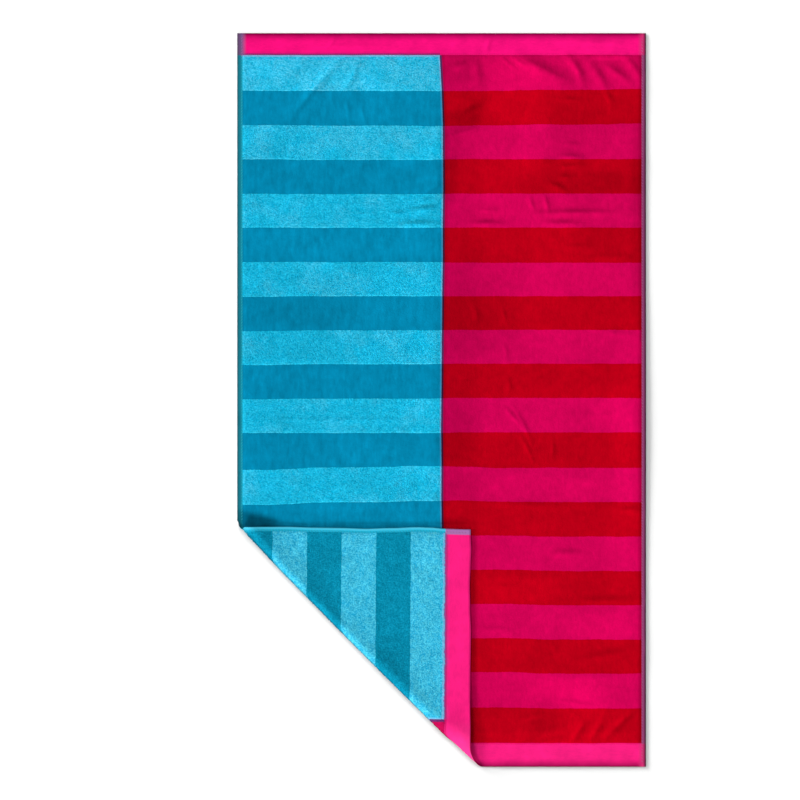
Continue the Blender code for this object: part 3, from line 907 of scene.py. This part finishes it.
def loop_tips(loom):
    """How much of the loops' tips shows, in clumps a few millimetres across."""
    clumps = loom.noise(size=0.0075, stretch=(0.7, 1.0, 1.0))
    face_grain = loom.noise(size=0.0030, detail=1.0, stretch=(0.65, 1.0, 1.0))
    back_grain = loom.noise(size=0.0030, detail=1.0, stretch=(1.0, 0.75, 1.0))
    both = clumps * CLUMP_SHARE + loom.by_side(face_grain, back_grain) * (1 - CLUMP_SHARE)
    shown = loom.beyond(both, TIP_LEVEL, soft=TIP_SPREAD)
    return (loom.rise * TIP_HIGHLIGHT_BY_RISE + shown * TIPS_SHOWN).clamped()


# A painted highlight brightens the tips along the start of each stripe, over this share of its depth,
# by this much more. The light blue is paler in patches, below this level of a noise, and more so from
# here up the towel.
STRIPE_START_SHARE = 0.035
STRIPE_START_HIGHLIGHT = 0.20
PALER_LEVEL = 0.48
PALER_FROM = 1.42
PALER_SPREAD = 0.38
PALER_MORE = 0.34


def woven_stripes(loom, tips):
    """The stripe colours over the pile, whether the light blue shows, and how far off the split."""
    v = loom.wander(loom.wander(loom.stripe_v, size=0.050, reach=0.0016), size=0.0035, reach=0.0011)
    stripes = (v - loom.on_back * BACK_HEM_TURN - BOTTOM_HEM_DEPTH) / STRIPE
    number = loom.maths("FLOOR", stripes + loom.on_back)
    is_light = loom.maths("FLOORED_MODULO", number, 2.0) > 0.5
    stripe_start_highlight = (loom.maths("FRACT", stripes) < STRIPE_START_SHARE) * loom.on_face
    tips = (tips + stripe_start_highlight * STRIPE_START_HIGHLIGHT).clamped()
    faded = loom.beyond(loom.v, PALER_FROM, soft=PALER_SPREAD) * PALER_MORE
    faded = (faded + loom.noise(size=0.060) - PALER_LEVEL).clamped() * tips
    split = loom.by_side(COLOUR_SPLIT, BACK_COLOUR_SPLIT)
    off_split = loom.wander(loom.split_u, size=0.0040, reach=0.0007) - split
    is_pink = loom.beyond(off_split, 0.0, soft=0.0010)
    streaks = loom.noise(size=0.0130, detail=3.0, roughness=0.62, stretch=(1.0, 0.32, 1.0))
    dark_blue = loom.over(DARK_BLUE, loom.swing(streaks, reach=0.34))
    looped_dark = loom.mix(tips, BACK_DARK_DEEP, BACK_DARK_TIP)
    light_blue = loom.mix(faded, loom.mix(tips, LIGHT_BLUE_DEEP, LIGHT_BLUE_TIP), PALER_TIP)
    looped_light = loom.mix(tips, BACK_LIGHT_DEEP, BACK_LIGHT_TIP)
    dark = loom.mix(loom.on_back, dark_blue, looped_dark)
    light = loom.mix(loom.on_back, light_blue, looped_light)
    red = loom.mix(loom.on_back, RED, BACK_RED)
    magenta = loom.mix(loom.on_back, MAGENTA, BACK_MAGENTA)
    soft_streaks = loom.noise(size=0.0070, detail=3.0, roughness=0.6, stretch=(1.0, 0.35, 1.0))
    pinks = loom.over(loom.mix(is_light, red, magenta), loom.swing(soft_streaks, reach=0.16))
    return loom.mix(is_pink, loom.mix(is_light, dark, light), pinks), is_light, off_split, is_pink


def split_line(loom, colour, off_split, is_light):
    """The dark ridge where the colour halves meet, pale and purple by the light blue, painted shade past
    it.
    """
    pale = is_light * 0.36 + 0.10
    colour = loom.lined(colour, off_split, -0.0040, 0.0014, BORDER_LILAC, strength=pale)
    ridge = loom.mix(loom.maths("MAXIMUM", is_light, loom.on_back), SEAM_NAVY, SEAM_PURPLE)
    ridge_to = loom.by_side(0.0058, 0.0076)
    colour = loom.lined(colour, off_split, -0.0004, ridge_to, ridge, strength=0.92)
    # Painted shade darkens the pink face just past the split, fading out over about a centimetre.
    past = loom.beyond(off_split, 0.0030, soft=0.011)
    painted_dusk = (off_split > 0.0) * loom.on_face
    return loom.over(colour, loom.blend(painted_dusk, 1.0, past * 0.34 + 0.66))


# How far in from its edge an end hem is darkened by painted shade, how quickly that fades, and how
# light its very edge is.
HEM_EDGE_SHADE_DEPTH = 0.0225
HEM_EDGE_SHADE_POWER = 1.6
HEM_EDGE_LIGHT = 0.19
# Where a painted highlight starts to make the flap's hem paler towards the fold's tip, and over what
# length.
HIGHLIGHT_FROM = 0.465
HIGHLIGHT_FADE = 0.090


def hem_cloth(loom, off_hem, is_blue):
    """The flat woven pink of the end hems, with painted shade towards the edge where it turns under."""
    edge = loom.wander(loom.maths("MINIMUM", loom.v, LENGTH - loom.v), size=0.030, reach=0.0015)
    painted_dusk = loom.maths("POWER", 1 - (edge / HEM_EDGE_SHADE_DEPTH).clamped(), HEM_EDGE_SHADE_POWER)
    shade = loom.by_side((1 - painted_dusk) * (1 - HEM_EDGE_LIGHT) + HEM_EDGE_LIGHT, 1.0)
    rib = loom.noise(size=0.0040, detail=3.0, roughness=0.6, stretch=(0.3, 1.0, 1.0))
    shade = shade * loom.swing(rib, reach=0.14) * loom.swing(loom.noise(size=0.034), reach=0.20)
    pink = loom.mix(loom.v > LENGTH / 2, HEM_PINK, TOP_HEM_PINK)
    highlit = loom.beyond(loom.u, HIGHLIGHT_FROM, soft=HIGHLIGHT_FADE) * loom.on_back
    pink = loom.over(loom.mix(highlit, pink, HIGHLIGHT_PINK), shade)
    purple = is_blue * loom.by_side(0.85, 0.78)
    line = loom.mix(loom.on_back, BORDER_PURPLE, BACK_BORDER_PURPLE)
    pink = loom.lined(pink, off_hem, -0.0095, 0.0010, line, strength=purple * 0.16)
    return loom.lined(pink, off_hem, -0.0050, 0.0020, line, strength=purple, soft=0.0024)


def side_hem_cloth(loom, on_end):
    """The turned under side hems: teal or lilac on the left, plum on the right, paler on the back."""
    edge = loom.wander(loom.maths("MINIMUM", loom.u, WIDTH - loom.u), size=0.0050, reach=0.0008)
    on_left = loom.u < WIDTH / 2
    off_edge = (edge / loom.blend(on_left, 0.0075, 0.0098)).clamped()
    # Each side hem darkens to its edge colour at its outer edge: painted shade where the edge turns
    # down.
    teal = loom.mix(off_edge, LEFT_HEM_SHADED_EDGE, LEFT_HEM_TEAL)
    lilac = loom.mix(off_edge, LEFT_LILAC_SHADED_EDGE, LEFT_HEM_LILAC)
    plum = loom.mix(off_edge, RIGHT_HEM_SHADED_EDGE, loom.mix(on_end, RIGHT_HEM_PLUM, RIGHT_HEM_PINK))
    face = loom.mix(on_left, plum, loom.mix(on_end, teal, lilac))
    # On the back, a painted highlight along the flap's rim before the teal.
    rim = loom.beyond(edge, 0.0030, soft=0.0040)
    back = loom.mix(on_end, loom.mix(rim, BACK_RIM_HIGHLIGHT_BLUE, BACK_HEM_TEAL), BACK_HEM_LILAC)
    within = loom.blend(on_left, RIGHT_HEM_SHOWN, LEFT_HEM_SHOWN) - edge
    sharp = loom.beyond(within, -0.0008, soft=0.0016)
    faded = ((within + loom.by_side(0.0095, 0.0045)) / loom.by_side(0.0110, 0.0026)).clamped()
    # Painted shade in the groove where the face's pile meets the side hem.
    groove_shade = loom.blend((within / -0.0120).clamped(), loom.blend(on_left, 0.80, 0.86), 1.0)
    groove_shade = loom.blend(loom.maths("MAXIMUM", loom.on_back, on_end), groove_shade, 1.0)
    return loom.mix(loom.on_back, face, back), loom.blend(on_end, sharp, faded), groove_shade


# How deep the bumps of the sheared pile, of the loops and of the flat hems are.
VELOUR_BUMPS = 0.0004
LOOP_BUMPS = 0.0014
HEM_BUMPS = 0.00025


def towel_cloth_finish():
    """The cloth's dyed stripes, the lines where they meet the hems, and its velour or looped pile."""
    loom = Loom("striped_terry")
    tips = loop_tips(loom)
    colour, is_light, off_split, is_pink = woven_stripes(loom, tips)
    patches = loom.noise(size=0.070, detail=3.0, roughness=0.6) + loom.noise(size=0.016)
    colour = loom.over(colour, loom.swing(patches, reach=0.16, middle=1.0))
    colour = split_line(loom, colour, off_split, is_light)

    is_blue = 1 - is_pink
    end_v = loom.wander(loom.v, size=0.060, reach=0.0012)
    ragged = loom.wander(loom.wander(end_v, size=0.0040, reach=0.0028), size=0.0300, reach=0.0032)
    end_v = loom.by_side(end_v, ragged)
    from_bottom = end_v - BOTTOM_HEM_DEPTH - loom.on_back * BACK_HEM_TURN
    off_hem = loom.maths("MINIMUM", from_bottom, LENGTH - TOP_HEM_DEPTH - end_v)
    pale, pale_to = is_blue * loom.by_side(0.80, 0.55), loom.by_side(0.0046, 0.0062)
    colour = loom.lined(colour, off_hem, -0.0010, pale_to, BORDER_LILAC, strength=pale)
    on_bottom = (loom.v < LENGTH / 2) * loom.on_face
    past_hem = loom.blend(on_bottom, 0.0006, 0.0020) - off_hem
    on_end = (past_hem / loom.blend(on_bottom, 0.0012, 0.0044)).clamped()
    colour = loom.mix(on_end, colour, hem_cloth(loom, off_hem, is_blue))

    side, on_side, groove_shade = side_hem_cloth(loom, on_end)
    colour = loom.mix(on_side, loom.over(colour, groove_shade), side)
    # The stored shade darkens or lightens the colour: the nap, with painted shade and painted highlight.
    loom.feed(loom.shader.inputs["Base Color"], loom.over(colour, loom.shade))

    loops = loom.maths("MAXIMUM", is_light * is_blue, loom.on_back)
    bare = loom.maths("MAXIMUM", on_end, on_side)
    depth = loom.blend(bare, loom.blend(loops, VELOUR_BUMPS, LOOP_BUMPS), HEM_BUMPS)
    height = (loom.noise(size=0.0030, roughness=0.6) + tips * 0.5) * depth
    bump = loom.worked("ShaderNodeBump", {"Height": height, "Strength": 1.0, "Distance": 1.0})
    loom.feed(loom.shader.inputs["Normal"], bump)
    loom.feed(loom.shader.inputs["Roughness"], loom.blend(bare, 0.92, 0.75))
    loom.feed(loom.shader.inputs["Specular IOR Level"], 0.0)
    return loom.material


terry_finish = towel_cloth_finish()
cloth = finish_piece("towel_cloth", towel_sheet(), terry_finish)
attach(cloth, "root")
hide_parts("towel")

# ---------------------------------------------------------------------------------------------------
# The terry loops. Shearing has left the light blue stripes of the face as loops, and all of the back.
# They are short tufts of cotton yarn, rooted in the cloth and leaning a little each its own way.

# How far apart the loops stand and, as a share of that, how far out of line. Then how wide and tall
# they are, each with its range, how deep they are rooted and how far their tips lean.
LOOP_PITCH = 0.0025
OUT_OF_LINE = 0.4
LOOP_WIDTH = 0.0015
WIDTH_RANGE = (0.8, 1.2)
LOOP_TALL = 0.0012
TALL_RANGE = (0.6, 1.25)
LOOP_ROOT = 0.0005
LOOP_LEAN = 0.0007
OFF_STRIPE_EDGE = 0.0012
FLAP_REACH = -0.300
FLAP_TURNED = math.radians(84)


def scattered(seed):
    """Places all over the flat cloth, a loop apart, each a little out of line."""
    across = np.arange(-WIDTH / 2, WIDTH / 2, LOOP_PITCH)
    up = np.arange(-LENGTH / 2, LENGTH / 2, LOOP_PITCH)
    spots = np.stack([grid.ravel() for grid in np.meshgrid(across, up)], axis=-1)
    off = np.random.default_rng(seed).uniform(-OUT_OF_LINE, OUT_OF_LINE, spots.shape)
    return spots + off * LOOP_PITCH


def loops_on_face():
    """The places of the loops on the light blue stripes that the flap leaves in sight."""
    spots = scattered(seed=31)
    x, y = spots[:, 0], spots[:, 1]
    stripe, within = np.divmod(y - drifted(x, y) + LENGTH / 2 - BOTTOM_HEM_DEPTH, STRIPE)
    light = (stripe % 2 == 1) & (np.abs(within - STRIPE / 2) < STRIPE / 2 - OFF_STRIPE_EDGE)
    left, right = LEFT_HEM_SHOWN + OFF_STRIPE_EDGE, COLOUR_SPLIT - OFF_STRIPE_EDGE
    woven_u = x + WIDTH / 2 - split_drifted(y)
    inside = (x + WIDTH / 2 > left) & (woven_u < right) & (y > FLAP_REACH)
    return spots[light & inside & (y < LENGTH / 2 - TOP_HEM_DEPTH)]


def loops_on_flap():
    """The places of the loops on the back of the folded corner, once it has turned over the roll."""
    spots = scattered(seed=32)
    x, y = spots[:, 0], spots[:, 1]
    roll, travel = in_fold(x, y)[1:]
    turned = (travel > 0) & (section(travel, roll)[2] > FLAP_TURNED)
    off_side = x + WIDTH / 2 > SIDE_HEM_DEPTH + OFF_STRIPE_EDGE
    off_end = y + LENGTH / 2 > BOTTOM_HEM_DEPTH + BACK_HEM_TURN
    return spots[turned & off_side & off_end]


def tufts(name, roots, side, seed):
    """Short leaning tufts on these places of the cloth, each of three sides and a base."""
    rng = np.random.default_rng(seed)
    count = len(roots)
    turn = rng.uniform(0, 2 * math.pi, count)
    wide = LOOP_WIDTH * rng.uniform(*WIDTH_RANGE, count)
    flat, proud = np.empty((count, 4, 2)), np.full((count, 4), -LOOP_ROOT)
    for corner in range(3):
        angle = turn + corner * 2 * math.pi / 3
        flat[:, corner, 0] = roots[:, 0] + wide * np.cos(angle)
        flat[:, corner, 1] = roots[:, 1] + wide * np.sin(angle)
    flat[:, 3] = roots + rng.normal(0, LOOP_LEAN, (count, 2))
    proud[:, 3] = LOOP_TALL * rng.uniform(*TALL_RANGE, count)
    flat, proud = flat.reshape(-1, 2), proud.ravel()
    faces = np.array(((0, 1, 3), (1, 2, 3), (2, 0, 3), (0, 2, 1)))[:, ::side]
    faces = (np.arange(count)[:, None, None] * 4 + faces).reshape(-1, 3)
    return cloth_piece(name, flat, np.full(len(flat), side), proud, faces, terry_finish)


def cloth_piece(name, flat, sides, proud, faces, material):
    """A piece made of small things on the cloth, from their points' places on it and their faces."""
    places = spread(flat[:, 0], flat[:, 1], sides, proud)
    mesh = bpy.data.meshes.new(name)
    mesh.from_pydata(places.tolist(), [], faces.tolist())
    give_cloth_spots(mesh, flat, sides, (proud > 0).astype(float))
    give_bake_map(mesh, flat[faces.ravel()], sides[faces.ravel()] > 0)
    mesh.shade_smooth()
    piece = finish_piece(name, mesh, material)
    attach(piece, "root")
    return piece


face_loops = tufts("face_loops", loops_on_face(), side=1, seed=41)
flap_loops = tufts("flap_loops", loops_on_flap(), side=-1, seed=42)

# ---------------------------------------------------------------------------------------------------
# The hem stitching. Spun thread sews the turned hems down: slanted overlock stitches along the long
# sides, and a straight row across each end, close to the pile. Both ends of a stitch dip into the cloth.

Seam = namedtuple("Seam", "x y length heading pitch stitch slant side")
SEAMS = (
    Seam(0.4905, -0.890, 1.780, 90, 0.0072, 0.0052, 32, 1),
    Seam(-0.4905, -0.296, 1.186, 90, 0.0072, 0.0052, -32, 1),
    Seam(-0.4915, -0.890, 0.560, 90, 0.0072, 0.0052, 32, -1),
    Seam(-0.4860, 0.8484, 0.972, 0, 0.0046, 0.0034, 0, 1),
    Seam(0.0200, -0.8454, 0.466, 0, 0.0046, 0.0034, 0, 1),
    Seam(-0.4860, -0.8430, 0.480, 0, 0.0046, 0.0034, 0, -1),
)
THREAD_RADIUS = 0.00042
STITCH_STEPS = ((-0.50, -0.0004), (-0.32, 0.0002), (0.0, 0.0004), (0.32, 0.0002), (0.50, -0.0004))
THREAD_SIDES = 4
TEAL_THREAD = (0.030, 0.340, 0.430)
LILAC_THREAD = (0.420, 0.150, 0.300)
PINK_THREAD = (0.780, 0.016, 0.190)


def stitch_rings(seam):
    """The rings of points round every stitch of a seam: places on the flat cloth, and how proud."""
    middles = np.arange(seam.pitch / 2, seam.length, seam.pitch)[:, None, None]
    heading, lay = math.radians(seam.heading), math.radians(seam.heading + seam.slant)
    round_it = np.arange(THREAD_SIDES) * 2 * math.pi / THREAD_SIDES
    along = np.array([share for share, rise in STITCH_STEPS])[None, :, None] * seam.stitch
    aside = (THREAD_RADIUS * np.cos(round_it))[None, None, :]
    x = seam.x + middles * math.cos(heading) + along * math.cos(lay) - aside * math.sin(lay)
    y = seam.y + middles * math.sin(heading) + along * math.sin(lay) + aside * math.cos(lay)
    rise = np.array([rise for share, rise in STITCH_STEPS])[None, :, None]
    proud = np.broadcast_to(rise + (THREAD_RADIUS * np.sin(round_it))[None, None, :], x.shape)
    return np.stack((x.ravel(), y.ravel()), axis=-1), proud.ravel()


def stitch_faces(side):
    """The triangles of one stitch, round it and over its two ends."""
    faces = []
    for step in range(len(STITCH_STEPS) - 1):
        for k in range(THREAD_SIDES):
            a, b = step * THREAD_SIDES + k, step * THREAD_SIDES + (k + 1) % THREAD_SIDES
            faces += [(a, b, b + THREAD_SIDES), (a, b + THREAD_SIDES, a + THREAD_SIDES)]
    last = (len(STITCH_STEPS) - 1) * THREAD_SIDES
    for k in range(1, THREAD_SIDES - 1):
        faces += [(0, k + 1, k), (last, last + k, last + k + 1)]
    return np.array(faces)[:, ::side]


def thread_finish():
    """Matt spun thread, dyed to go with the hem that it sews, with its twist as faint slanting marks."""
    loom = Loom("spun_thread")
    end = loom.maths("MINIMUM", loom.v, LENGTH - loom.v)
    side = loom.maths("MINIMUM", loom.u, WIDTH - loom.u)
    on_end = end < BOTTOM_HEM_DEPTH + BACK_HEM_TURN
    end_colour = loom.mix(side < SIDE_HEM_DEPTH, PINK_THREAD, LILAC_THREAD)
    side_colour = loom.mix(loom.u > WIDTH / 2, TEAL_THREAD, LILAC_THREAD)
    colour = loom.mix(on_end, side_colour, end_colour)
    twist = loom.noise(size=0.0011, roughness=0.6, stretch=(1.0, 0.5, 1.0))
    loom.feed(loom.shader.inputs["Base Color"], loom.over(colour, loom.swing(twist, reach=0.35)))
    loom.feed(loom.shader.inputs["Roughness"], 0.8)
    loom.feed(loom.shader.inputs["Specular IOR Level"], 0.1)
    return loom.material


def sewn():
    """Every stitch of every seam, as one piece."""
    flats, prouds, sides, faces = [], [], [], []
    start = 0
    per_stitch = len(STITCH_STEPS) * THREAD_SIDES
    for seam in SEAMS:
        flat, proud = stitch_rings(seam)
        firsts = start + np.arange(0, len(flat), per_stitch)
        faces.append((firsts[:, None, None] + stitch_faces(seam.side)).reshape(-1, 3))
        flats.append(flat)
        prouds.append(proud)
        sides.append(np.full(len(flat), seam.side))
        start += len(flat)
    parts = [np.concatenate(rows) for rows in (flats, sides, prouds, faces)]
    return cloth_piece("hem_stitches", *parts, thread_finish())


hem_stitches = sewn()

# ---------------------------------------------------------------------------------------------------
# The studio: a plain pale floor under the towel, soft low lights from the left, the front and the back,
# and a camera straight above, as far to the left of the towel's middle as the picture is.

FLOOR_DROP = 0.0006
FLOOR_SIZE = 14.0
PALE_FLOOR = (0.34, 0.34, 0.34)
LAMP_REACH = 8.0
SKY_STRENGTH = 0.42
CAMERA_HEIGHT = 6.0
PICTURE_SIDE = 1.9635
PICTURE_MIDDLE = (-0.1036, -0.0001)
SENSOR = 36.0

floor_mesh = bpy.data.meshes.new("floor")
reach = FLOOR_SIZE / 2
floor_corners = [(-reach, -reach), (reach, -reach), (reach, reach), (-reach, reach)]
floor_mesh.from_pydata([(x, y, -FLOOR_DROP) for x, y in floor_corners], [], [(0, 1, 2, 3)])
floor_finish = bpy.data.materials.new("pale_floor")
floor_finish.use_nodes = True
floor_shader = floor_finish.node_tree.nodes["Principled BSDF"]
floor_shader.inputs["Base Color"].default_value = (*PALE_FLOOR, 1.0)
floor_shader.inputs["Roughness"].default_value = 0.9
floor_shader.inputs["Specular IOR Level"].default_value = 0.1
floor = finish_piece("floor", floor_mesh, floor_finish)


def aimed(name, lamp, place):
    """Hangs a lamp at this place and points it at the middle of the floor."""
    holder = bpy.data.objects.new(name, lamp)
    bpy.context.scene.collection.objects.link(holder)
    holder.location = place
    holder.rotation_euler = (-Vector(place)).to_track_quat("-Z", "Y").to_euler()
    return holder


# Each lamp's bearing and height in degrees, how many degrees of the sky it fills, its strength, and
# whether it lights the floor alone, to soften the shadow that the towel lies in.
Lamp = namedtuple("Lamp", "name bearing height spread strength floor_alone")
LAMPS = (
    Lamp("left_light", 187, 20, 13, 1.85, False),
    Lamp("low_left_light", 190, 12, 20, 1.20, False),
    Lamp("front_light", 250, 26, 14, 1.95, False),
    Lamp("back_light", 125, 22, 34, 0.90, False),
    Lamp("floor_high_light", 62, 50, 40, 3.70, True),
    Lamp("floor_low_light", 138, 12, 24, 16.60, True),
)
floor_only = bpy.data.collections.new("floor_only")
floor_only.objects.link(floor)
for row in LAMPS:
    lamp = bpy.data.lights.new(row.name, "SUN")
    lamp.angle = math.radians(row.spread)
    lamp.energy = row.strength
    bearing, height = math.radians(row.bearing), math.radians(row.height)
    level, up = LAMP_REACH * math.cos(height), LAMP_REACH * math.sin(height)
    place = (level * math.cos(bearing), level * math.sin(bearing), up)
    holder = aimed(row.name, lamp, place)
    if row.floor_alone:
        holder.light_linking.receiver_collection = floor_only

world = bpy.data.worlds.new("studio")
world.use_nodes = True
sky = world.node_tree.nodes["Background"]
sky.inputs["Color"].default_value = (1.0, 1.0, 1.0, 1.0)
sky.inputs["Strength"].default_value = SKY_STRENGTH
bpy.context.scene.world = world
bpy.context.scene.view_settings.view_transform = "Standard"

camera = bpy.data.objects.new("camera", bpy.data.cameras.new("camera"))
camera.data.sensor_width = SENSOR
camera.data.lens = SENSOR * CAMERA_HEIGHT / PICTURE_SIDE
camera.location = (*PICTURE_MIDDLE, CAMERA_HEIGHT)
bpy.context.scene.collection.objects.link(camera)
bpy.context.scene.camera = camera
